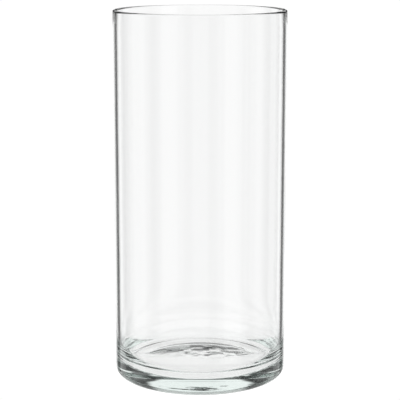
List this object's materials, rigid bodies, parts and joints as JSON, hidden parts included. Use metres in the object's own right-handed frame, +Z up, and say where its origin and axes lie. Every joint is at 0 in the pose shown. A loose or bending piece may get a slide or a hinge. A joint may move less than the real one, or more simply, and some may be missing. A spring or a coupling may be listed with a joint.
{
  "type": "glass cylinder vase",
  "caption": "Tall clear glass cylinder vase with a straight wall, a full-round lip, a thick solid base and a shallow hollow under the foot.",
  "frame": {"origin": "centre of the foot, on the surface the vase stands on", "axes": "+Z up along the vase's axis towards its mouth; X and Y are interchangeable because the vase is round"},
  "size_m": [0.14, 0.14, 0.3],
  "materials": {
    "clear_glass": "clear soda-lime glass, moulded and fire-polished, with a faint green tint where it is thick"
  },
  "bodies": {
    "root": {"glass_vessel": "clear_glass"}
  },
  "joints": []
}
